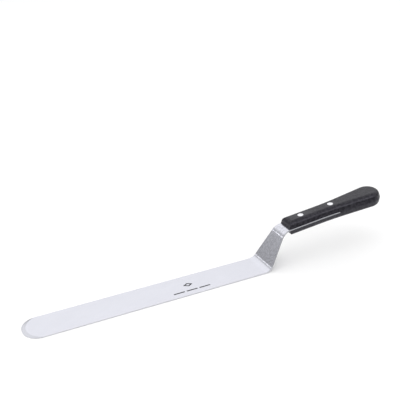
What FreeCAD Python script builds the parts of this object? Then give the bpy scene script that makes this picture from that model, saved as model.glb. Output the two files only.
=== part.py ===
"""Offset spatula for spreading icing and lifting cakes.

The blade, its cranked neck and its tang are one bent piece of spring steel. The tang sits in a slot sawn
into a one-piece plastic handle, and two cutler's rivets, each a tubular half and a solid half, hold it there.

Millimetres. +X runs from the blade's tip towards the handle, +Y to the left of that, +Z up. The origin is the
middle of the blade's flat underside, on which the spatula rests.
"""
import FreeCAD, Part

import math
import os
import re

import Sketcher

OUT = "parts"
SHEET = "dimensions"

# Every driving dimension: its name, its value in millimetres or degrees, and what it is.
DIMENSIONS = [
    ("blade_length", 242.0, "flat underside, from the tip to the start of the heel bend"),
    ("tip_width", 34.6, "across the blade near its round end"),
    ("heel_width", 33.8, "across the blade where the neck begins"),
    ("tip_corner_radius", 15.5, "in plan, which leaves a short straight nose"),
    ("tip_thickness", 0.8, "the blade is ground thinner towards the tip"),
    ("steel_thickness", 1.2, "at the heel, in the neck and in the tang"),
    ("bevel_length", 3.6, "the ground bevel round the tip, at its widest"),
    ("bevel_radius", 18.5, "in plan, of the line where the bevel meets the upper face"),
    ("bevel_edge", 0.4, "what the bevel leaves of the thickness at the tip"),
    ("heel_bend_radius", 9.2, "inside the bend from the blade up into the neck"),
    ("neck_angle", 58.8, "the neck against the blade"),
    ("neck_length", 30.1, "the straight part of the neck, between its two bends"),
    ("tang_bend_radius", 12.0, "inside the bend from the neck into the tang"),
    ("tang_tilt", 6.2, "the tang rises this much against the blade"),
    ("heel_corner_radius", 26.0, "in plan, where the blade's side turns into the neck's"),
    ("heel_corner_setback", 8.0, "in plan, from the start of the heel bend to that corner"),
    ("neck_corner_radius", 30.0, "in plan, where the neck's side turns into the tang's"),
    ("neck_corner_setback", 7.0, "in plan, from that corner to the front of the handle"),
    ("tang_width", 18.8, "at the handle's front; the steel stays flush with the handle's sides"),
    ("tang_length", 60.0, "inside the handle"),
    ("handle_length", 114.7, "along the handle"),
    ("handle_thickness", 15.6, "between its upper and its lower face"),
    ("handle_draft", 14.0, "the sides lean in this much, away from either face of the tang"),
    ("handle_edge_radius", 5.0, "round the upper and the lower face"),
    ("waist_length", 52.0, "from the front to where the sides begin to spread"),
    ("waist_radius", 350.0, "in plan, of the hollow where they begin to spread"),
    ("tail_width", 30.3, "across the handle's sides, drawn on to its end"),
    ("tail_radius", 13.6, "in plan, of the round end"),
    ("rivet_front_at", 18.5, "from the handle's front"),
    ("rivet_rear_at", 54.9, "from the handle's front"),
    ("rivet_head_radius", 3.15, "both heads lie flush in the handle"),
    ("rivet_head_thickness", 1.4, "of either head"),
    ("rivet_tube_radius", 2.3, "outside the tubular half"),
    ("rivet_pin_radius", 1.4, "the solid half's stem, and the bore that it is pressed into"),
    ("rivet_bore_depth", 10.6, "from the tubular half's open end"),
    ("rivet_gap", 0.3, "left at both ends of the pressed joint"),
    ("tang_hole_radius", 2.5, "the tubular half passes the steel with a little room"),
]

# Places worked out from the dimensions. Angles are in degrees, and a point has an _x and a _z.
FORMULAS = {
    "heel_x": "blade_length / 2",
    "under_radius": "heel_bend_radius + steel_thickness",
    "over_radius": "tang_bend_radius + steel_thickness",
    "under_run": "under_radius * tan(neck_angle / 2)",
    "over_run": "tang_bend_radius * tan((neck_angle - tang_tilt) / 2)",
    "crank_run": "under_run + neck_length + over_run",
    # Where the undersides of the blade, the neck and the tang would meet without their bends.
    "low_x": "heel_x + under_run",
    "high_x": "low_x + crank_run * cos(neck_angle)",
    "high_z": "crank_run * sin(neck_angle)",
    # The same for their upper sides.
    "low_top_x": "low_x - steel_thickness * tan(neck_angle / 2)",
    "mitre": "steel_thickness / cos((neck_angle - tang_tilt) / 2)",
    "high_top_x": "high_x - mitre * sin((neck_angle + tang_tilt) / 2)",
    "high_top_z": "high_z + mitre * cos((neck_angle + tang_tilt) / 2)",
    # The underside of the tang's end, and the middle of the tang where it enters the handle.
    "end_x": "high_x + (over_run + tang_length) * cos(tang_tilt)",
    "end_z": "high_z + (over_run + tang_length) * sin(tang_tilt)",
    "front_x": "high_x + over_run * cos(tang_tilt) - steel_thickness / 2 * sin(tang_tilt)",
    "front_z": "high_z + over_run * sin(tang_tilt) + steel_thickness / 2 * cos(tang_tilt)",
    # Heights in the handle's own frame.
    "face_z": "handle_thickness / 2",
    "seat_z": "face_z - rivet_head_thickness",
    "tube_end_z": "rivet_gap - seat_z",
}

NAMES = {name for name, _, _ in DIMENSIONS}
RIVETS = {"front": "rivet_front_at", "rear": "rivet_rear_at"}
MARGIN = 20.0  # how far a cutting outline reaches past the piece
SMALLEST_CHANGE = 0.01  # cubic millimetres that any feature adds or removes
NEARLY_ONE = 0.99  # the upward part of a level face's unit normal
START, END, CENTRE = 1, 2, 3
ORIGIN = (-1, START)


def bound(formula):
    """The formula as an expression, with every name in it turned into cells of the sheet."""

    def cells(match):
        word = match[0]
        if word in FORMULAS:
            return f"({bound(FORMULAS[word])})"
        return f"{SHEET}.{word}" if word in NAMES else word

    return re.sub(r"[a-z_]+", cells, formula)


def make_sheet(doc):
    """Lists the dimensions in a spreadsheet, whose aliases every expression reads."""
    sheet = doc.addObject("Spreadsheet::Sheet", SHEET)
    for row, (name, value, note) in enumerate(DIMENSIONS, start=1):
        sheet.set(f"A{row}", name)
        sheet.set(f"B{row}", repr(value))
        sheet.set(f"C{row}", note)
        sheet.setAlias(f"B{row}", name)
    doc.recompute()
    return sheet


def plane(body, role):
    return next(feature for feature in body.Origin.OriginFeatures if feature.Role == role)


class Workshop:
    """The document, with the few moves that make every piece of this object."""

    def __init__(self):
        self.doc = FreeCAD.newDocument("offset_spatula")
        self.sheet = make_sheet(self.doc)

    def value(self, formula):
        return float(self.sheet.evalExpression(bound(formula)))

    def bind(self, owner, setting, formula):
        owner.setExpression(setting, bound(formula))

    def body(self, label):
        body = self.doc.addObject("PartDesign::Body", label)
        body.Label = label
        return body

    def sketch(self, body, name, role):
        sketch = body.newObject("Sketcher::SketchObject", name)
        sketch.AttachmentSupport = [(plane(body, role), "")]
        sketch.MapMode = "FlatFace"
        return sketch

    def tilt(self, owner, placement, along):
        """Sets one placement of the owner into the handle's frame, some way along it."""
        turn = FreeCAD.Rotation(FreeCAD.Vector(0, -1, 0), self.value("tang_tilt"))
        setattr(owner, placement, FreeCAD.Placement(FreeCAD.Vector(), turn))
        self.bind(owner, f"{placement}.Rotation.Angle", "tang_tilt")
        self.bind(owner, f"{placement}.Base.x", f"front_x + {along} * cos(tang_tilt)")
        self.bind(owner, f"{placement}.Base.z", f"front_z + {along} * sin(tang_tilt)")

    def dimension(self, sketch, kind, *what):
        """Adds a constraint whose value is the last item, a formula."""
        *where, formula = what
        index = sketch.addConstraint(Sketcher.Constraint(kind, *where, self.value(formula)))
        self.bind(sketch, f"Constraints[{index}]", formula)

    def locate(self, sketch, point, x, y):
        self.dimension(sketch, "DistanceX", *ORIGIN, *point, x)
        self.dimension(sketch, "DistanceY", *ORIGIN, *point, y)

    def rivet_circles(self, sketch, radius):
        """A circle on the axis of either rivet, in a sketch that lies along the handle."""
        for along in RIVETS.values():
            middle = FreeCAD.Vector(self.value(along), 0, 0)
            circle = Part.Circle(middle, FreeCAD.Vector(0, 0, 1), self.value(radius))
            index = sketch.addGeometry(circle, False)
            self.locate(sketch, (index, CENTRE), along, "0")
            self.dimension(sketch, "Radius", index, radius)

    def upright_axis(self, sketch, x):
        """A construction line to turn a section about, up from the sketch's horizontal axis."""
        foot, head = FreeCAD.Vector(self.value(x), 0, 0), FreeCAD.Vector(self.value(x), MARGIN, 0)
        line = sketch.addGeometry(Part.LineSegment(foot, head), True)
        self.locate(sketch, (line, START), x, "0")
        self.locate(sketch, (line, END), x, str(MARGIN))
        return (sketch, ["Axis0"])

    def outline(self, sketch, corners):
        """Draws a closed outline from its corners, each an x, a y and, where it is rounded, a radius."""
        points = [FreeCAD.Vector(self.value(x), self.value(y), 0) for x, y, *_ in corners]
        arcs = []
        for i, (point, corner) in enumerate(zip(points, corners)):
            before = (points[i - 1] - point).normalize()
            after = (points[(i + 1) % len(points)] - point).normalize()
            arcs.append(Rounding(point, before, after, self.value(corner[2])) if corner[2:] else None)
        ends = [(arc.arrive, arc.leave) if arc else (point, point) for arc, point in zip(arcs, points)]
        lines = []
        for i, (_, leave) in enumerate(ends):
            arrive = ends[(i + 1) % len(ends)][0]
            lines.append(sketch.addGeometry(Part.LineSegment(leave, arrive), False))
        for i, (arc, corner) in enumerate(zip(arcs, corners)):
            self.join(sketch, lines[i - 1], lines[i], points[i], arc, corner)

    def join(self, sketch, line_in, line_out, point, arc, corner):
        """Ties two lines of an outline together at a sharp or a rounded corner."""
        if arc is None:
            sketch.addConstraint(Sketcher.Constraint("Coincident", line_in, END, line_out, START))
            self.locate(sketch, (line_out, START), *corner)
            return
        x, y, radius = corner
        curve = sketch.addGeometry(arc.curve, False)
        mark = sketch.addGeometry(Part.Point(point), True)
        sketch.addConstraint(Sketcher.Constraint("Tangent", line_in, END, curve, arc.first))
        sketch.addConstraint(Sketcher.Constraint("Tangent", curve, arc.last, line_out, START))
        sketch.addConstraint(Sketcher.Constraint("PointOnObject", mark, START, line_in))
        sketch.addConstraint(Sketcher.Constraint("PointOnObject", mark, START, line_out))
        self.locate(sketch, (mark, START), x, y)
        self.dimension(sketch, "Radius", curve, radius)

    def feature(self, kind, name, sketch, length=None, **settings):
        """Adds a feature that works from a sketch, and checks that it adds or removes something."""
        body = sketch.getParentGeoFeatureGroup()
        self.doc.recompute()
        before = 0.0 if body.Shape.isNull() else body.Shape.Volume
        feature = body.newObject(f"PartDesign::{kind}", name)
        feature.Profile = sketch
        if length:
            self.bind(feature, "Length", length)
        for setting, choice in settings.items():
            setattr(feature, setting, choice)
        self.doc.recompute()
        if abs(body.Shape.Volume - before) < SMALLEST_CHANGE:
            raise RuntimeError(f"{name} changes nothing")
        return feature


class Rounding:
    """The arc that rounds a corner, met from one line and left along the next."""

    def __init__(self, point, before, after, radius):
        half = before.getAngle(after) / 2
        run = radius / math.tan(half)
        middle = point + (before + after).normalize() * (radius / math.sin(half))
        self.arrive = point + before * run
        self.leave = point + after * run
        left = before.cross(after).z < 0
        angles = [math.atan2(p.y - middle.y, p.x - middle.x) for p in (self.arrive, self.leave)]
        if not left:
            angles.reverse()
        self.first, self.last = (START, END) if left else (END, START)
        self.curve = Part.ArcOfCircle(Part.Circle(middle, FreeCAD.Vector(0, 0, 1), radius), *angles)


def both_sides(half):
    """A closed outline from its half on the +Y side, listed along +X, and the mirror image of that."""
    return half + [(x, f"-({y})", *rest) for x, y, *rest in reversed(half)]


def rectangle(low_x, low_y, high_x, high_y):
    return [(low_x, low_y), (high_x, low_y), (high_x, high_y), (low_x, high_y)]


def blade_and_tang(shop):
    """The steel: its bent side profile, trimmed to its plan, bevelled round the tip and drilled twice."""
    body = shop.body("blade_and_tang")
    profile = shop.sketch(body, "side_profile", "XZ_Plane")
    shop.outline(
        profile,
        [
            ("-heel_x", "0"),
            ("low_x", "0", "under_radius"),
            ("high_x", "high_z", "tang_bend_radius"),
            ("end_x", "end_z"),
            ("end_x - steel_thickness * sin(tang_tilt)", "end_z + steel_thickness * cos(tang_tilt)"),
            ("high_top_x", "high_top_z", "over_radius"),
            ("low_top_x", "steel_thickness", "heel_bend_radius"),
            ("-heel_x", "tip_thickness"),
        ],
    )
    shop.feature("Pad", "bent_sheet", profile, f"tip_width + {MARGIN}", Midplane=True)

    # From the waist on, the tang's sides are the handle's own, seen from straight above instead of squarely.
    plan = shop.sketch(body, "plan", "XY_Plane")
    waste = rectangle(f"-heel_x - {MARGIN}", "-tip_width", "front_x + 2 * handle_length", "tip_width")
    shop.outline(plan, waste)
    side = [
        ("-heel_x", "tip_width / 2", "tip_corner_radius"),
        ("heel_x + heel_corner_setback", "heel_width / 2", "heel_corner_radius"),
        ("front_x - neck_corner_setback", "tang_width / 2", "neck_corner_radius"),
        ("front_x + waist_length * cos(tang_tilt)", "tang_width / 2", "waist_radius * cos(tang_tilt) ^ 2"),
        ("front_x + handle_length * cos(tang_tilt)", "tail_width / 2"),
    ]
    shop.outline(plan, both_sides(side))
    shop.feature("Pocket", "trimmed", plan, "4 * end_z", Midplane=True)

    # The bevel's face is part of a wide cone about an upright axis. Its section falls from above the upper
    # face, through the bevel's inner line and the edge, to a point outside the steel.
    bevel = shop.sketch(body, "bevel_section", "XZ_Plane")
    fall = "(tip_thickness - bevel_edge)"
    section = [
        ("2 * bevel_length - heel_x", f"tip_thickness + {fall}"),
        ("-bevel_length - heel_x", f"tip_thickness + {fall}"),
        ("-bevel_length - heel_x", f"tip_thickness - 2 * {fall}"),
    ]
    shop.outline(bevel, section)
    axis = shop.upright_axis(bevel, "bevel_length + bevel_radius - heel_x")
    shop.feature("Groove", "tip_bevel", bevel, ReferenceAxis=axis, Angle=180.0, Midplane=True)

    holes = shop.sketch(body, "rivet_holes", "XY_Plane")
    shop.tilt(holes, "AttachmentOffset", "0")
    shop.rivet_circles(holes, "tang_hole_radius")
    shop.feature("Pocket", "drilled", holes, "4 * steel_thickness", Midplane=True)
    return body


def handle(shop):
    """The plastic handle, drawn in its own frame: its front's middle at the origin, its length along X.

    Its upper half is made first. The last feature adds the lower half, its mirror image.
    """
    body = shop.body("handle")
    plan = shop.sketch(body, "plan", "XY_Plane")
    side = [
        ("0", "tang_width / 2"),
        ("waist_length", "tang_width / 2", "waist_radius"),
        ("handle_length", "tail_width / 2", "tail_radius"),
    ]
    shop.outline(plan, both_sides(side))
    upper = shop.feature("Pad", "upper_half", plan, "face_z")

    steel_face = body.newObject("PartDesign::Plane", "steel_face")
    steel_face.AttachmentSupport = [(plane(body, "XY_Plane"), "")]
    steel_face.MapMode = "FlatFace"
    shop.bind(steel_face, "AttachmentOffset.Base.z", "steel_thickness / 2")
    draft = body.newObject("PartDesign::Draft", "leaning_sides")
    draft.Base = (upper, faces(upper, lambda up: abs(up) < NEARLY_ONE))
    draft.NeutralPlane = (steel_face, [""])
    shop.bind(draft, "Angle", "handle_draft")
    shop.doc.recompute()

    rounded = body.newObject("PartDesign::Fillet", "rounded_edges")
    rounded.Base = (draft, faces(draft, lambda up: up > NEARLY_ONE))
    shop.bind(rounded, "Radius", "handle_edge_radius")

    slot = shop.sketch(body, "slot", "XZ_Plane")
    shop.outline(slot, rectangle(f"-{MARGIN}", "-steel_thickness / 2", "tang_length", "steel_thickness / 2"))
    shop.feature("Pocket", "sawn_slot", slot, "4 * tang_width", Midplane=True)

    bores = shop.sketch(body, "bores", "XY_Plane")
    shop.rivet_circles(bores, "rivet_tube_radius")
    shop.feature("Pocket", "drilled", bores, "2 * handle_thickness", Midplane=True)

    seats = shop.sketch(body, "head_seats", "XY_Plane")
    shop.bind(seats, "AttachmentOffset.Base.z", "seat_z")
    shop.rivet_circles(seats, "rivet_head_radius")
    shop.feature("Pocket", "head_seats_cut", seats, "handle_thickness", Reversed=True)

    both = body.newObject("PartDesign::Mirrored", "both_halves")
    both.TransformMode = "Whole shape"
    both.MirrorPlane = (plane(body, "XY_Plane"), [""])
    body.Tip = both
    shop.tilt(body, "Placement", "0")
    return body


def faces(feature, wanted):
    """The names of a feature's faces, chosen by the upward part of their unit normals."""
    numbered = enumerate(feature.Shape.Faces, start=1)
    return [f"Face{i}" for i, face in numbered if wanted(face.normalAt(0, 0).z)]


def turned(shop, label, corners, along):
    """A round piece, turned about the axis of a rivet that goes through the handle."""
    body = shop.body(label)
    section = shop.sketch(body, "section", "XZ_Plane")
    shop.outline(section, corners)
    shop.feature("Revolution", "turned", section, ReferenceAxis=(section, ["V_Axis"]), Angle=360.0)
    shop.tilt(body, "Placement", along)
    return body


def rivet(shop, place):
    """A cutler's rivet: a tubular half from above, and from below a solid half pressed into it."""
    along = RIVETS[place]
    bore_end = "(tube_end_z + rivet_bore_depth)"
    socket = [
        ("0", "face_z"),
        ("0", bore_end),
        ("rivet_pin_radius", bore_end),
        ("rivet_pin_radius", "tube_end_z"),
        ("rivet_tube_radius", "tube_end_z"),
        ("rivet_tube_radius", "seat_z"),
        ("rivet_head_radius", "seat_z"),
        ("rivet_head_radius", "face_z"),
    ]
    pin = [
        ("0", "-face_z"),
        ("rivet_head_radius", "-face_z"),
        ("rivet_head_radius", "-seat_z"),
        ("rivet_pin_radius", "-seat_z"),
        ("rivet_pin_radius", f"{bore_end} - rivet_gap"),
        ("0", f"{bore_end} - rivet_gap"),
    ]
    return [
        turned(shop, f"rivet_{place}_socket", socket, along),
        turned(shop, f"rivet_{place}_pin", pin, along),
    ]


def write(shop, pieces):
    """Checks every object of the document, then writes one file for each piece."""
    shop.doc.recompute()
    broken = [item.Name for item in shop.doc.Objects if {"Invalid", "Error"} & set(item.State)]
    sketches = [item for item in shop.doc.Objects if item.TypeId == "Sketcher::SketchObject"]
    loose = [sketch.Name for sketch in sketches if sketch.solve() != 0 or not sketch.FullyConstrained]
    if broken or loose:
        raise RuntimeError(f"failed objects: {broken}, sketches not fully constrained: {loose}")
    os.makedirs(OUT, exist_ok=True)
    for piece in pieces:
        shape = piece.Shape
        if shape.isNull() or not shape.isValid() or len(shape.Solids) != 1:
            raise RuntimeError(f"{piece.Label} is not one sound solid")
        shape.exportStep(os.path.join(OUT, f"{piece.Label}.step"))
        print(f"{piece.Label}: {shape.Volume:.0f} cubic millimetres")


def main():
    shop = Workshop()
    pieces = [blade_and_tang(shop), handle(shop)]
    for place in RIVETS:
        pieces += rivet(shop, place)
    write(shop, pieces)


main()
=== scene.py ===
import math

import bmesh
import bpy
from mathutils import Matrix, Vector


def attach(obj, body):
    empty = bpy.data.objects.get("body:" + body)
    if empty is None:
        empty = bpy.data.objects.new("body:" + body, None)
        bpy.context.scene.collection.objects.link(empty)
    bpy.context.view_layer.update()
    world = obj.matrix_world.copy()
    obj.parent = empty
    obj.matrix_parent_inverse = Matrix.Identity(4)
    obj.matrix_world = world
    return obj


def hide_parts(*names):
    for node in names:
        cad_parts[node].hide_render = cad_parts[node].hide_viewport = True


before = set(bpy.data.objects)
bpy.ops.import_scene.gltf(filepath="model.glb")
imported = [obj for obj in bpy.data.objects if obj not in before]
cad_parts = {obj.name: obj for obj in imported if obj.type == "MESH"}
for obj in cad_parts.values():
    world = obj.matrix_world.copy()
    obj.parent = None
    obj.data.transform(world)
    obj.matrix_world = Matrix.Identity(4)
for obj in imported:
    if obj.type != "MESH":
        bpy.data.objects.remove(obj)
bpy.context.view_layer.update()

MM = 0.001

# The steel, as the CAD model has it.
BLADE_LENGTH = 242.0
TIP_X = -BLADE_LENGTH / 2
TIP_HALF_WIDTH, TIP_CORNER = 17.3, 15.5
TIP_THICKNESS = 0.8
THICKNESS = 1.2
TAPER_LENGTH = 247.0
BEVEL_LENGTH, BEVEL_RADIUS, BEVEL_FALL = 3.6, 18.5, 0.4
HEEL_BEND, HEEL_ANGLE = 10.4, math.radians(58.8)
NECK_LENGTH = 30.1
TANG_BEND, TANG_TILT = 12.0, math.radians(6.2)
TANG_LENGTH = 60.0
STEEL_EDGE = 0.12  # the small rounding along every edge of the steel

# Seen from above, each side turns in past the start of the heel bend, and back before the handle's front.
HEEL_HALF_WIDTH, HEEL_CORNER, HEEL_SETBACK = 16.9, 26.0, 8.0
NECK_CORNER, NECK_SETBACK = 30.0, 7.0

# Past these heights the steel's sides are also painted darker, as painted shade along the neck and tang.
NECK_GRAIN_FROM = (2.0, 6.0)  # the heights between which the blade's fine finish gives way to the neck's

# The etched mark on the blade.
MARK_X = 43.4
LOZENGE_Y, LOZENGE_LENGTH, LOZENGE_WIDTH = 0.5, 10.4, 6.4
LOZENGE_HOLLOW = 0.45  # the share of it that is left bright in its middle
BARS, BARS_Y, BAR_LENGTH, BAR_WIDTH, BAR_SPACING = 3, -9.8, 11.6, 1.7, 13.6

# The handle, in its own frame: x along it from its front, z square to the tang from the tang's middle.
HANDLE_LENGTH = 114.7
HALF_WIDTH, TAIL_HALF_WIDTH, TAIL_CORNER = 9.4, 15.15, 13.6
WAIST_LENGTH, WAIST_RADIUS = 52.0, 350.0
FRONT_CORNER = 0.6
FACE_Z = 7.8
HANDLE_EDGE, HANDLE_DRAFT = 5.0, math.radians(14)
SLOT_Z = THICKNESS / 2
SLOT_LIP = 0.08  # the small break along the slot's rims

# The rivets, on the handle's middle line.
RIVETS = {"front": 18.5, "rear": 54.9}
HEAD_RADIUS, HEAD_THICKNESS = 3.15, 1.4
HEAD_CROWN, HEAD_CHAMFER = 0.12, 0.18
TUBE_RADIUS, PIN_RADIUS = 2.3, 1.4
BORE_DEPTH, RIVET_GAP = 10.6, 0.3  # the tube's bore, and the gap left past the end of each half
TANG_HOLE = 2.5
SEAT_CHAMFER = 0.12

# How finely the curves are divided.
ARC_STEPS = 14
BEND_STEPS = 18
BLADE_STEPS = 30
HEEL_STEPS = 8
HEEL_SIDE_LENGTH = 12.0  # the blade's last stretch, where its sides begin to turn in
ROUND_STEPS = 9
CIRCLE_STEPS = 48
ROUND_45 = 1 - math.cos(math.pi / 4)  # how far a rounded edge's middle is set back, for a radius of 1
SHARP_TURN = math.radians(50)  # faces that meet at less are shaded as one smooth surface


def ahead(heading):
    """The direction of a heading, which is an angle in a flat view."""
    return Vector((math.cos(heading), math.sin(heading)))


def left(heading):
    """The direction square to a heading, to its left."""
    return Vector((-math.sin(heading), math.cos(heading)))


def rounded(corners):
    """Points and outward normals round the corners of one side: each corner an x, a y and a radius.

    The first and the last corner only say where the side comes from and goes to.
    """
    points = [Vector(corner[:2]) for corner in corners]
    headings = [math.atan2(b.y - a.y, b.x - a.x) for a, b in zip(points, points[1:])]
    side = []
    for corner, point, before, after in zip(corners[1:], points[1:], headings, headings[1:]):
        turn = after - before
        reach = math.copysign(corner[2], turn)
        centre = point - ahead(before) * corner[2] * math.tan(abs(turn) / 2) + left(before) * reach
        for step in range(ARC_STEPS + 1):
            heading = before + turn * step / ARC_STEPS
            side.append((centre - left(heading) * reach, left(heading)))
    return side


def at_station(side, x):
    """The point and normal of a side where it passes x."""
    for (a, normal_a), (b, normal_b) in zip(side, side[1:]):
        if a.x < b.x and a.x <= x <= b.x:
            share = (x - a.x) / (b.x - a.x)
            return a.lerp(b, share), normal_a.lerp(normal_b, share)
    raise ValueError(f"the side doesn't reach {x}")


def spaced(start, end, steps):
    """Evenly spaced values from past the start up to the end."""
    return [start + (end - start) * step / steps for step in range(1, steps + 1)]


def whole(half):
    """A closed ring from the half of it at positive y, listed along x. Item -1 - i mirrors item i."""
    return half + [(x, -y, *rest) for x, y, *rest in reversed(half)]


class Skin:
    """A closed mesh put together from rings of points, each given in the piece's own way."""

    def __init__(self, place):
        self.mesh = bmesh.new()
        self.place = place
        self.edge = self.mesh.verts.layers.float.new("edge")
        self.creases = set()

    def ring(self, points, edge=0.0):
        """Adds points to the mesh. Edge says how much of an edge's own tone they get, up to 1: wear on the
        handle and rivets, and on the steel its sides' tone, which is painted shade along the neck.
        """
        made = [self.mesh.verts.new(self.place(*point) * MM) for point in points]
        for vertex in made:
            vertex[self.edge] = edge
        return made

    def wall(self, lower, upper, closed=True):
        """Joins two rings of as many points with a band of faces."""
        for i in range(len(lower) if closed else len(lower) - 1):
            j = (i + 1) % len(lower)
            self.mesh.faces.new((lower[i], lower[j], upper[j], upper[i]))

    def strips(self, ring, first, last):
        """Fills a ring from side to side between two of its places."""
        for i in range(first, last):
            self.mesh.faces.new((ring[i], ring[i + 1], ring[-2 - i], ring[-1 - i]))

    def round_edges(self, loop):
        """The edges along a closed loop, which are made where there is none yet."""
        ends = zip(loop, loop[1:] + loop[:1])
        return [self.mesh.edges.get(pair) or self.mesh.edges.new(pair) for pair in ends]

    def cover(self, outer, *holes):
        """Fills a flat ring, apart from the rings within it."""
        edges = [edge for loop in (outer, *holes) for edge in self.round_edges(loop)]
        bmesh.ops.triangle_fill(self.mesh, edges=edges, use_beauty=True)

    def finish(self, name, material, node):
        """Turns the mesh into a piece of the object that stands for a CAD node."""
        bmesh.ops.recalc_face_normals(self.mesh, faces=self.mesh.faces)
        for face in self.mesh.faces:
            face.smooth = True
        for edge in self.mesh.edges:
            edge.smooth = edge.calc_face_angle() < SHARP_TURN and edge not in self.creases
        data = bpy.data.meshes.new(name)
        self.mesh.to_mesh(data)
        self.mesh.free()
        data.materials.append(material)
        piece = bpy.data.objects.new(name, data)
        bpy.context.scene.collection.objects.link(piece)
        flat = piece.modifiers.new("flat_faces_stay_flat", "WEIGHTED_NORMAL")
        flat.keep_sharp = True
        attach(piece, "root")
        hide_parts(node)
        return piece


def circle(x, radius, height):
    """A ring round a rivet's axis, x along the handle."""
    turns = [2 * math.pi * step / CIRCLE_STEPS for step in range(CIRCLE_STEPS)]
    return [(x + radius * math.cos(turn), radius * math.sin(turn), height) for turn in turns]


# ---- The steel: a strip of sheet that is bent along its length ----


class Run:
    """A stretch of the steel's underside, straight or bent, seen from the side."""

    def __init__(self, start, heading, length, turn=0.0):
        self.start, self.heading, self.length, self.turn = start, heading, length, turn

    def at(self, along, height):
        """The point so far along this stretch, and so high above the underside."""
        if not self.turn:
            return self.start + ahead(self.heading) * along + left(self.heading) * height
        reach = self.length / self.turn
        heading = self.heading + self.turn * along / self.length
        return self.start + left(self.heading) * reach - left(heading) * (reach - height)

    def next(self, length, turn=0.0):
        return Run(self.at(self.length, 0.0), self.heading + self.turn, length, turn)


def steel_runs():
    """The stretches of the steel, from its tip to the tang's end."""
    blade = Run(Vector((TIP_X, 0.0)), 0.0, BLADE_LENGTH)
    heel = blade.next(HEEL_BEND * HEEL_ANGLE, HEEL_ANGLE)
    neck = heel.next(NECK_LENGTH)
    turn = HEEL_ANGLE - TANG_TILT
    shoulder = neck.next(TANG_BEND * turn, -turn)
    tang = shoulder.next(TANG_LENGTH)
    return [blade, heel, neck, shoulder, tang]


RUNS = steel_runs()
TANG_MIDDLE = RUNS[-1].at(0.0, THICKNESS / 2)
FRONT = Vector((TANG_MIDDLE.x, 0.0, TANG_MIDDLE.y))  # the middle of the handle's front


def on_steel(along, y, height):
    """The place of a point of the flat strip once it is bent."""
    for run in RUNS:
        if along <= run.length or run is RUNS[-1]:
            side = run.at(along, height)
            return Vector((side.x, y, side.y))
        along -= run.length


def sheet_thickness(along):
    """The steel's thickness, which is ground down towards the tip."""
    return TIP_THICKNESS + (THICKNESS - TIP_THICKNESS) * min(1.0, along / TAPER_LENGTH)


def bevelled_thickness(along, y):
    """The thickness where the bevel round the tip has taken some away, and elsewhere the sheet's."""
    beyond = math.hypot(BEVEL_LENGTH + BEVEL_RADIUS - along, y) - BEVEL_RADIUS
    before_middle = along < BEVEL_LENGTH + BEVEL_RADIUS
    cut = BEVEL_FALL * max(0.0, beyond) / BEVEL_LENGTH if before_middle else 0.0
    return sheet_thickness(along) - cut


def steel_side():
    """One side of the flat strip, as points along and across it with their outward normals.

    The outline is drawn as it is seen from above, where the tilted tang looks a little shorter.
    """
    shorter = math.cos(TANG_TILT)
    plan = rounded(
        [
            (TIP_X, 0.0),
            (TIP_X, TIP_HALF_WIDTH, TIP_CORNER),
            (HEEL_SETBACK - TIP_X, HEEL_HALF_WIDTH, HEEL_CORNER),
            (FRONT.x - NECK_SETBACK, HALF_WIDTH, NECK_CORNER),
            (FRONT.x + WAIST_LENGTH * shorter, HALF_WIDTH, WAIST_RADIUS * shorter**2),
            (FRONT.x + HANDLE_LENGTH * shorter, TAIL_HALF_WIDTH),
        ]
    )
    tip = [(point.x - TIP_X, point.y) for point, _ in plan[: ARC_STEPS + 1]]
    heel_side = BLADE_LENGTH - HEEL_SIDE_LENGTH
    stations = spaced(tip[-1][0], heel_side, BLADE_STEPS) + spaced(heel_side, BLADE_LENGTH, HEEL_STEPS)
    reached = BLADE_LENGTH
    for run in RUNS[1:]:
        stations += spaced(reached, reached + run.length, BEND_STEPS)
        reached += run.length
    middle = THICKNESS / 2
    side = tip + [(s, at_station(plan, on_steel(s, 0.0, middle).x)[0].y) for s in stations]
    points = [Vector(point) for point in side]
    neighbours = [Vector((points[0].x, -points[0].y)), *points]
    steps = [after - before for before, after in zip(neighbours, points[1:])]
    normals = [Vector((-step.y, step.x)).normalized() for step in steps]
    tang_corner = Vector((1.0, 1.0))  # square, so it is set in along the strip and across it alike
    return list(zip(points, [*normals, tang_corner]))


def bevel_inset(point, normal):
    """How far in from the edge the bevel begins, or a little where there is none."""
    centre = Vector((BEVEL_LENGTH + BEVEL_RADIUS, 0.0))
    least = 2 * STEEL_EDGE
    offset = point - centre
    if offset.x > 0 or offset.length <= BEVEL_RADIUS:
        return least
    inward = offset.dot(normal)
    return max(least, inward - math.sqrt(inward**2 - offset.length_squared + BEVEL_RADIUS**2))


def steel_ring(side, inset, height):
    """A ring of the steel, set in from its outline, at heights worked out from the place."""
    placed = [point - normal * inset(point, normal) for point, normal in side]
    return whole([(s, y, height(s, y)) for s, y in placed])


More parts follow.
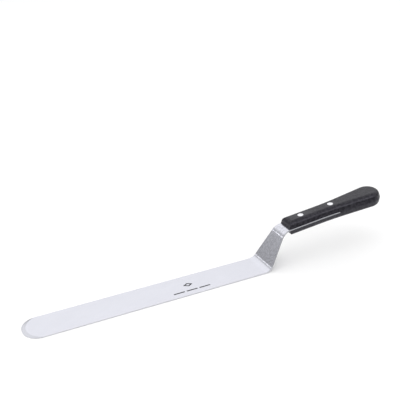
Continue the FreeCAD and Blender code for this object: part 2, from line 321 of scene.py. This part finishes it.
def make_steel(material):
    """The blade, the neck and the tang: the sides go up in rings, between a lower and an upper face."""
    side = steel_side()
    skin = Skin(on_steel)
    edge, set_back = STEEL_EDGE, STEEL_EDGE * ROUND_45
    # Each level of the sides: how far in from the outline, how much of the edges' tone (painted shade along
    # the neck), and how high.
    levels = [
        (edge, 0.0, lambda s, y: 0.0),
        (set_back, 1.0, lambda s, y: set_back),
        (0.0, 1.0, lambda s, y: edge),
        (0.0, 1.0, lambda s, y: bevelled_thickness(s, y) - edge),
        (set_back, 1.0, lambda s, y: bevelled_thickness(s, y) - set_back),
        (edge, 0.0, bevelled_thickness),
    ]
    rings = []
    for inset, edge_tone, height in levels:
        outline = steel_ring(side, lambda point, normal: inset, height)
        rings.append(skin.ring(outline, edge_tone))
    rings.append(skin.ring(steel_ring(side, bevel_inset, lambda s, y: sheet_thickness(s))))
    for lower, upper in zip(rings, rings[1:]):
        skin.wall(lower, upper)
    tang_first = len(side) - 1 - BEND_STEPS
    tang_start = sum(run.length for run in RUNS[:-1])
    faces = []
    for ring, height in ((rings[0], 0.0), (rings[-1], THICKNESS)):
        holes = [skin.ring(circle(tang_start + x, TANG_HOLE, height)) for x in RIVETS.values()]
        skin.strips(ring, 0, tang_first)
        skin.cover(ring[tang_first : len(ring) - tang_first], *holes)
        faces.append(holes)
    for lower, upper in zip(*faces):
        skin.wall(lower, upper)
    skin.creases.update(skin.round_edges(rings[-1]))
    skin.finish("steel_blade", material, "blade_and_tang")


# ---- The handle and its rivets, in the handle's own frame ----


def on_handle(x, y, z):
    """The place of a point of the handle's own frame."""
    along = ahead(TANG_TILT) * x + left(TANG_TILT) * z
    return FRONT + Vector((along.x, y, along.y))


def handle_side():
    """One side of the handle's outline, and which of its points is where the slot ends."""
    side = rounded(
        [
            (0.0, 0.0),
            (0.0, HALF_WIDTH, FRONT_CORNER),
            (WAIST_LENGTH, HALF_WIDTH, WAIST_RADIUS),
            (HANDLE_LENGTH, TAIL_HALF_WIDTH, TAIL_CORNER),
            (HANDLE_LENGTH, 0.0),
        ]
    )
    # The front corner is too small to shrink as the sides lean in, so its points all move along its diagonal.
    corner = slice(0, ARC_STEPS + 1)
    side[corner] = [(point, Vector((-1.0, 1.0))) for point, _ in side[corner]]
    slot_end = next(i for i, (point, _) in enumerate(side) if point.x > TANG_LENGTH)
    side.insert(slot_end, at_station(side, TANG_LENGTH))
    return side, slot_end


def handle_section():
    """The handle's side from its face down to its middle: how far in from the outline, and how high."""
    centre_z = FACE_Z - HANDLE_EDGE
    lean_top = centre_z + HANDLE_EDGE * math.sin(HANDLE_DRAFT)
    centre_in = (lean_top - SLOT_Z) * math.tan(HANDLE_DRAFT) + HANDLE_EDGE * math.cos(HANDLE_DRAFT)
    turns = [math.pi / 2, *spaced(math.pi / 2, HANDLE_DRAFT, ROUND_STEPS)]
    rounding = [(centre_in - HANDLE_EDGE * math.cos(t), centre_z + HANDLE_EDGE * math.sin(t)) for t in turns]
    return [*rounding, (SLOT_LIP * math.tan(HANDLE_DRAFT), SLOT_Z + SLOT_LIP)]


def seat(skin, x, up):
    """A rivet's seat and bore, from a chamfered rim in the handle's face to the slot."""
    sections = [
        (HEAD_RADIUS + SEAT_CHAMFER, FACE_Z, 1.0),
        (HEAD_RADIUS, FACE_Z - SEAT_CHAMFER, 1.0),
        (HEAD_RADIUS, FACE_Z - HEAD_THICKNESS, 0.0),
        (TUBE_RADIUS, FACE_Z - HEAD_THICKNESS, 0.0),
        (TUBE_RADIUS, SLOT_Z, 0.0),
    ]
    rings = [skin.ring(circle(x, radius, up * height), edge_tone) for radius, height, edge_tone in sections]
    for upper, lower in zip(rings, rings[1:]):
        skin.wall(upper, lower)
    return rings[0], rings[-1]


def make_handle(material):
    """The handle: an upper and a lower half, joined behind the slot that parts them."""
    side, slot_end = handle_side()
    skin = Skin(on_handle)

    def outline(inset, height):
        return whole([(*(point - normal * inset), height) for point, normal in side])

    def beside_slot(ring):
        """The part of a ring from the slot's end on one side, round the front, to its end on the other."""
        return ring[slot_end::-1] + ring[: -2 - slot_end : -1]

    walls, lips, shelves = [], [], []
    for up in (1, -1):
        rings = [skin.ring(outline(inset, up * height)) for inset, height in handle_section()]
        for upper, lower in zip(rings, rings[1:]):
            skin.wall(upper, lower)
        lip = beside_slot(rings[-1])
        shelf = skin.ring(beside_slot(outline(SLOT_LIP, up * SLOT_Z)), 1.0)
        skin.wall(lip, shelf, closed=False)
        seats = [seat(skin, x, up) for x in RIVETS.values()]
        skin.cover(rings[0], *(rim for rim, _ in seats))
        skin.cover(shelf, *(mouth for _, mouth in seats))
        walls.append(rings[-1][slot_end : len(rings[-1]) - slot_end])
        lips.append(lip)
        shelves.append(shelf)
    skin.wall(*walls, closed=False)
    upper_end, lower_end = ([lip[0], shelf[0], shelf[-1], lip[-1]] for lip, shelf in zip(lips, shelves))
    skin.mesh.faces.new(upper_end + lower_end[::-1])
    skin.finish("plastic_handle", material, "handle")


def turned(name, profile, x, material, node):
    """A round piece of a rivet, from its half section: radii and heights, from the axis back to the axis."""
    skin = Skin(lambda *point: Vector(point))
    rings = []
    for radius, height, *edge in profile:
        points = circle(0.0, radius, height) if radius else [(0.0, 0.0, height)]
        rings.append(skin.ring(points, *edge))
    for upper, lower in zip(rings, rings[1:]):
        if len(upper) == len(lower):
            skin.wall(upper, lower)
            continue
        pole, rim = sorted((upper, lower), key=len)
        for a, b in zip(rim, rim[1:] + rim[:1]):
            skin.mesh.faces.new((pole[0], a, b))
    piece = skin.finish(name, material, node)
    piece.matrix_world = Matrix.Translation(on_handle(x, 0.0, 0.0) * MM) @ Matrix.Rotation(-TANG_TILT, 4, "Y")


def head(up):
    """A rivet head's half section, from the middle of its crown to its underside."""
    rim = HEAD_RADIUS - HEAD_CHAMFER
    crown = [
        (rim * step / ROUND_STEPS, up * (FACE_Z + HEAD_CROWN * (1 - (step / ROUND_STEPS) ** 2)))
        for step in range(ROUND_STEPS + 1)
    ]
    return crown + [
        (HEAD_RADIUS, up * (FACE_Z - HEAD_CHAMFER), 1.0),
        (HEAD_RADIUS, up * (FACE_Z - HEAD_THICKNESS)),
    ]


def make_rivet(place, x, material):
    """The two halves of a rivet: a tube under the upper head, and a pin in it over the lower head."""
    seat_z = FACE_Z - HEAD_THICKNESS
    tube_end = RIVET_GAP - seat_z
    bore_end = tube_end + BORE_DEPTH
    socket = head(1) + [
        (TUBE_RADIUS, seat_z),
        (TUBE_RADIUS, tube_end),
        (PIN_RADIUS, tube_end),
        (PIN_RADIUS, bore_end),
        (0.0, bore_end),
    ]
    pin = head(-1) + [
        (PIN_RADIUS, -seat_z),
        (PIN_RADIUS, bore_end - RIVET_GAP),
        (0.0, bore_end - RIVET_GAP),
    ]
    turned(f"{place}_rivet_socket", socket, x, material, f"rivet_{place}_socket")
    turned(f"{place}_rivet_pin", pin, x, material, f"rivet_{place}_pin")


# ---- Materials ----

SPECKLES = 420.0  # the coarse grain of the neck and of the handle, in grains for each metre
SPECKLE_SPREAD = (0.42, 0.58)  # the middle of the noise, spread over the whole range


class Paint:
    """A material's node tree, with short ways to add what the materials here need."""

    def __init__(self, name, **settings):
        self.material = bpy.data.materials.new(name)
        self.material.use_nodes = True
        self.tree = self.material.node_tree
        self.shader = self.tree.nodes["Principled BSDF"]
        for socket, value in settings.items():
            self.shader.inputs[socket.replace("_", " ")].default_value = value
        self.place = self.add("TexCoord").outputs["Object"]

    def add(self, kind, **settings):
        node = self.tree.nodes.new(f"ShaderNode{kind}")
        for setting, value in settings.items():
            setattr(node, setting, value)
        return node

    def link(self, output, target):
        self.tree.links.new(output, target)

    def noise(self, *scale, detail=3.0):
        """Noise in grains for each metre: one number, or three where they are stretched along an axis."""
        stretch = self.add("Mapping")
        stretch.inputs["Scale"].default_value = scale if len(scale) > 1 else scale * 3
        self.link(self.place, stretch.inputs["Vector"])
        grain = self.add("TexNoise")
        grain.inputs["Scale"].default_value = 1.0
        grain.inputs["Detail"].default_value = detail
        self.link(stretch.outputs["Vector"], grain.inputs["Vector"])
        return grain.outputs["Fac"]

    def ranged(self, value, low, high, start=0.3, end=0.7):
        """The value, taken from start to end, spread from low to high."""
        spread = self.add("MapRange")
        for socket, number in zip(("From Min", "From Max", "To Min", "To Max"), (start, end, low, high)):
            spread.inputs[socket].default_value = number
        self.link(value, spread.inputs["Value"])
        return spread.outputs["Result"]

    def combine(self, operation, *values):
        """The outcome of a calculation, each value a number or another node's output."""
        node = self.add("Math", operation=operation)
        for socket, value in zip(node.inputs, values):
            if isinstance(value, (int, float)):
                socket.default_value = value
            else:
                self.link(value, socket)
        return node.outputs["Value"]

    def blend(self, share, first, second):
        """A colour between two, each a colour or another node's output."""
        node = self.add("Mix", data_type="RGBA")
        self.link(share, node.inputs["Factor"])
        for name, colour in (("A", first), ("B", second)):
            socket = next(s for s in node.inputs if s.name == name and s.type == "RGBA")
            if isinstance(colour, tuple):
                socket.default_value = (*colour, 1.0)
            else:
                self.link(colour, socket)
        return next(s for s in node.outputs if s.type == "RGBA")

    def edge(self):
        """The mesh's own note of where its edges are: worn on the handle and rivets, painted with shade along
        the steel's neck.
        """
        return self.add("Attribute", attribute_name="edge").outputs["Fac"]

    def coordinates(self):
        """The place's x, y and z, in metres."""
        parts = self.add("SeparateXYZ")
        self.link(self.place, parts.inputs["Vector"])
        return parts.outputs

    def bump(self, height, distance, strength, onto=None):
        """A normal that follows a height of so many millimetres, on top of another where one is given."""
        node = self.add("Bump")
        node.inputs["Strength"].default_value = strength
        node.inputs["Distance"].default_value = distance * MM
        self.link(height, node.inputs["Height"])
        if onto:
            self.link(onto, node.inputs["Normal"])
        return node.outputs["Normal"]

    def set(self, socket, output):
        self.link(output, self.shader.inputs[socket])


def blade_mark(paint):
    """Where the blade's upper face is etched dark: a hollow lozenge above a line of three bars."""
    x, y, z = paint.coordinates()

    def away(coordinate, middle):
        return paint.combine("ABSOLUTE", paint.combine("SUBTRACT", coordinate, middle * MM))

    def within(distance, limit):
        return paint.combine("LESS_THAN", distance, limit * MM)

    along = away(x, MARK_X)
    across = paint.combine("MULTIPLY", away(y, LOZENGE_Y), LOZENGE_LENGTH / LOZENGE_WIDTH)
    steps = paint.combine("ADD", along, across)
    outside = LOZENGE_LENGTH / 2 * MM
    inside = LOZENGE_HOLLOW * outside
    lozenge = paint.combine("COMPARE", steps, (outside + inside) / 2, (outside - inside) / 2)
    from_bar = paint.combine("PINGPONG", along, BAR_SPACING / 2 * MM)
    bars = paint.combine("MULTIPLY", within(from_bar, BAR_LENGTH / 2), within(along, BARS / 2 * BAR_SPACING))
    line = paint.combine("MULTIPLY", bars, within(away(y, BARS_Y), BAR_WIDTH / 2))
    upper = paint.combine("GREATER_THAN", z, TIP_THICKNESS / 2 * MM)
    return paint.combine("MULTIPLY", paint.combine("MAXIMUM", lozenge, line), upper)


def tip_bevel(paint):
    """Where the bevel is ground: outside the arc of its inner line, on the upper face. The steel is painted
    darker there, as painted shade.
    """
    x, y, z = paint.coordinates()
    middle = (TIP_X + BEVEL_LENGTH + BEVEL_RADIUS) * MM
    along = paint.combine("SUBTRACT", x, middle)
    squares = [paint.combine("MULTIPLY", side, side) for side in (along, y)]
    distance = paint.combine("SQRT", paint.combine("ADD", *squares))
    outside = paint.combine("GREATER_THAN", distance, BEVEL_RADIUS * MM)
    before = paint.combine("LESS_THAN", along, 0.0)
    upper = paint.combine("GREATER_THAN", z, (TIP_THICKNESS - BEVEL_FALL) / 2 * MM)
    return paint.combine("MULTIPLY", paint.combine("MULTIPLY", outside, before), upper)


def brushed_steel():
    """Satin steel, ground along its length, with faint streaks and rougher sides.

    The blade is ground a second time. The bent neck and the tang keep a coarser grain, and their sides are
    painted darker as painted shade; the tip's bevel is painted darker too, as painted shade.
    """
    dull, bright = (0.545, 0.55, 0.60), (0.575, 0.58, 0.63)
    # The bevel's colour is painted shade: a darker grey that sets the real bevel off.
    coarse_pit, bevel, etched = (0.475, 0.48, 0.525), (0.495, 0.50, 0.54), (0.07, 0.07, 0.078)
    # The sides' tones: the blade's a little brighter than its faces, the neck's and tang's much darker, as
    # painted shade.
    blade_side, neck_side_shade = (0.60, 0.605, 0.64), (0.36, 0.365, 0.39)
    rougher_by = 0.2  # on the sides and in the mark

    paint = Paint("brushed_steel", Metallic=1.0)
    fine = paint.noise(60.0, 5200.0, 60.0, detail=2.0)
    streaks = paint.noise(70.0, 900.0, 70.0, detail=4.0)
    clouds = paint.noise(30.0, 45.0, 30.0, detail=2.0)
    tone = paint.blend(paint.ranged(streaks, 0.0, 1.0), dull, bright)
    _, _, height = paint.coordinates()
    neck = paint.ranged(height, 0.0, 1.0, *(level * MM for level in NECK_GRAIN_FROM))
    coarse = paint.ranged(paint.noise(SPECKLES), 0.0, 1.0, *SPECKLE_SPREAD)
    grained = paint.blend(paint.combine("MULTIPLY", coarse, neck), tone, coarse_pit)
    # Painted shade over the tip's bevel, on top of its real slope.
    with_bevel_shade = paint.blend(tip_bevel(paint), grained, bevel)
    # The sides take their own tone: the blade's slightly brighter, the neck's and tang's darker as painted
    # shade.
    edge_tone_and_neck_shade = paint.blend(paint.edge(), with_bevel_shade, paint.blend(neck, blade_side, neck_side_shade))
    mark = blade_mark(paint)
    paint.set("Base Color", paint.blend(mark, edge_tone_and_neck_shade, etched))
    faces = paint.combine("ADD", paint.ranged(fine, 0.17, 0.21), paint.ranged(clouds, -0.01, 0.015))
    rougher = paint.combine("MULTIPLY", paint.combine("MAXIMUM", paint.edge(), mark), rougher_by)
    paint.set("Roughness", paint.combine("ADD", faces, rougher))
    ridges = paint.bump(streaks, 0.008, 0.6)
    paint.set("Normal", paint.bump(fine, 0.01, 0.6, ridges))
    return paint.material


def moulded_plastic():
    """Charcoal plastic with a fine sparked grain, mottled, and a little paler where its edges rub."""
    black, charcoal, rubbed = (0.003, 0.0028, 0.0045), (0.018, 0.0175, 0.021), (0.03, 0.03, 0.033)

    paint = Paint("charcoal_plastic", Specular_IOR_Level=0.36, Specular_Tint=(0.87, 0.845, 1.0, 1.0))
    grain = paint.noise(2600.0, detail=2.0)
    blotches = paint.noise(SPECKLES, detail=4.0)
    handling = paint.noise(35.0, 60.0, 35.0)
    tone = paint.blend(paint.ranged(blotches, 0.0, 1.0, *SPECKLE_SPREAD), black, charcoal)
    paint.set("Base Color", paint.blend(paint.edge(), tone, rubbed))
    rough = paint.combine("ADD", paint.ranged(grain, 0.28, 0.38), paint.ranged(handling, -0.03, 0.03))
    paint.set("Roughness", rough)
    pits = paint.bump(blotches, 0.2, 0.9)
    paint.set("Normal", paint.bump(grain, 0.04, 0.7, pits))
    return paint.material


def rivet_metal():
    """Bright aluminium, faced on a lathe: fine rings round its axis, and a softer bloom over them."""
    dull, bright, worn = (0.68, 0.68, 0.71), (0.75, 0.75, 0.78), (0.80, 0.80, 0.82)

    paint = Paint("turned_aluminium", Metallic=1.0)
    rings = paint.add("TexWave", wave_type="RINGS", rings_direction="Z")
    rings.inputs["Scale"].default_value = 700.0
    rings.inputs["Distortion"].default_value = 0.6
    paint.link(paint.place, rings.inputs["Vector"])
    bloom = paint.noise(500.0)
    tone = paint.blend(paint.ranged(bloom, 0.0, 1.0), dull, bright)
    paint.set("Base Color", paint.blend(paint.edge(), tone, worn))
    paint.set("Roughness", paint.ranged(bloom, 0.2, 0.28))
    paint.set("Normal", paint.bump(rings.outputs["Fac"], 0.006, 0.4))
    return paint.material


# ---- The studio ----

# The camera: how it is turned, in degrees, what it looks at and from how far, and its lens.
VIEW_AZIMUTH, VIEW_ELEVATION, VIEW_ROLL = -24.75, 24.99, -2.10
VIEW_TARGET = (0.1400, 0.1741, 0.0)
VIEW_DISTANCE = 0.9111
FOCAL_LENGTH = 66.96

# The room's brightness at some heights, each the upward part of a direction.
SKY = [
    (0.0, 0.25),
    (0.1, 0.40),
    (0.18, 0.69),
    (0.24, 0.70),
    (0.32, 0.50),
    (0.38, 0.60),
    (0.46, 1.05),
    (1.0, 1.0),
]
# The studio's own sizes and places, in metres.
FLOOR_REACH, FLOOR_DEPTH = 8.0, 0.0001
CARD_X, CARD_Y, CARD_TOP = (0.1, 0.85), -0.5, 0.12
CARD_HIDDEN_FROM = ("visible_camera", "visible_diffuse", "visible_shadow")
LIT_PLACE = (0.08, 0.0, 0.03)
LAMP_DISTANCE = 2.0
# Each softbox: its azimuth and elevation, its width and height, and its level.
SOFTBOXES = {
    "back": (16, 38, 72, 26, 0.41),
    "front": (160, 31, 30, 18, 3.3),
    "strip": (-37.5, 17.5, 8, 2.8, 4.0),
    "overhead": (-120, 65, 80, 60, 0.45),
}


def make_camera():
    """The camera. Azimuth 0 looks along +Y, and a negative one is from further to the left."""
    turn, rise = math.radians(VIEW_AZIMUTH), math.radians(VIEW_ELEVATION)
    back = Vector((math.sin(turn) * math.cos(rise), -math.cos(turn) * math.cos(rise), math.sin(rise)))
    data = bpy.data.cameras.new("photo_camera")
    data.lens = FOCAL_LENGTH
    data.clip_start = 0.01
    camera = bpy.data.objects.new("photo_camera", data)
    level = back.to_track_quat("Z", "Y").to_matrix().to_4x4()
    roll = Matrix.Rotation(math.radians(VIEW_ROLL), 4, "Z")
    camera.matrix_world = Matrix.Translation(Vector(VIEW_TARGET) + back * VIEW_DISTANCE) @ level @ roll
    bpy.context.scene.collection.objects.link(camera)
    bpy.context.scene.camera = camera


def make_stage(name, corners, paint):
    """A flat sheet of the studio between four corners."""
    mesh = bpy.data.meshes.new(name)
    mesh.from_pydata(corners, [], [(0, 1, 2, 3)])
    mesh.materials.append(paint.material)
    sheet = bpy.data.objects.new(name, mesh)
    bpy.context.scene.collection.objects.link(sheet)
    return sheet


def make_floor():
    """A wide pale floor, a hair below the blade so that the two don't share a plane."""
    paint = Paint("pale_floor", Roughness=0.9)
    paint.set("Base Color", paint.blend(paint.noise(6.0), (0.90, 0.90, 0.90), (0.93, 0.93, 0.93)))
    signs = [(-1, -1), (1, -1), (1, 1), (-1, 1)]
    corners = [(x * FLOOR_REACH, y * FLOOR_REACH, -FLOOR_DEPTH) for x, y in signs]
    make_stage("floor", corners, paint)


def make_dark_card():
    """A low dark card in front, seen only in reflections. It darkens the handle's upright near side."""
    paint = Paint("dark_card", Roughness=0.9)
    paint.set("Base Color", paint.blend(paint.noise(300.0), (0.02, 0.02, 0.02), (0.03, 0.03, 0.03)))
    start, end = CARD_X
    outline = [(start, 0.0), (end, 0.0), (end, CARD_TOP), (start, CARD_TOP)]
    card = make_stage("dark_card", [(x, CARD_Y, z) for x, z in outline], paint)
    for sight in CARD_HIDDEN_FROM:
        setattr(card, sight, False)


def make_sky():
    """The room round the studio: its brightness at each height, as the upward part of a direction."""
    world = bpy.data.worlds.new("studio")
    bpy.context.scene.world = world
    world.use_nodes = True
    tree = world.node_tree
    where = tree.nodes.new("ShaderNodeTexCoord")
    parts = tree.nodes.new("ShaderNodeSeparateXYZ")
    ramp = tree.nodes.new("ShaderNodeValToRGB")
    ramp.color_ramp.elements[0].position, ramp.color_ramp.elements[1].position = SKY[0][0], SKY[-1][0]
    for height, _ in SKY[1:-1]:
        ramp.color_ramp.elements.new(height)
    for element, (_, level) in zip(ramp.color_ramp.elements, SKY):
        element.color = (level, level, level, 1.0)
    tree.links.new(where.outputs["Generated"], parts.inputs["Vector"])
    tree.links.new(parts.outputs["Z"], ramp.inputs["Fac"])
    background = tree.nodes["Background"]
    tree.links.new(ramp.outputs["Color"], background.inputs["Color"])
    background.inputs["Strength"].default_value = 1.0


def make_softbox(name, azimuth, elevation, width, height, level):
    """A lit panel that faces the spatula. Its place and size are angles, seen from there, in degrees.

    Azimuth 0 is straight behind, along +Y, and 90 is along +X. Level is how bright the panel looks.
    """
    turn, rise = math.radians(azimuth), math.radians(elevation)
    outward = Vector((math.sin(turn) * math.cos(rise), math.cos(turn) * math.cos(rise), math.sin(rise)))
    data = bpy.data.lights.new(name, "AREA")
    data.shape = "RECTANGLE"
    half_angles = (math.radians(angle / 2) for angle in (width, height))
    data.size, data.size_y = (2 * LAMP_DISTANCE * math.tan(half_angle) for half_angle in half_angles)
    data.energy = math.pi * data.size * data.size_y * level
    lamp = bpy.data.objects.new(name, data)
    lamp.location = Vector(LIT_PLACE) + outward * LAMP_DISTANCE
    lamp.rotation_euler = outward.to_track_quat("Z", "Y").to_euler()
    lamp.visible_camera = False
    bpy.context.scene.collection.objects.link(lamp)


make_steel(brushed_steel())
make_handle(moulded_plastic())
rivet_paint = rivet_metal()
for place, x in RIVETS.items():
    make_rivet(place, x, rivet_paint)

make_camera()
make_floor()
make_dark_card()
make_sky()
for name, softbox in SOFTBOXES.items():
    make_softbox(name, *softbox)
bpy.context.scene.view_settings.view_transform = "Standard"
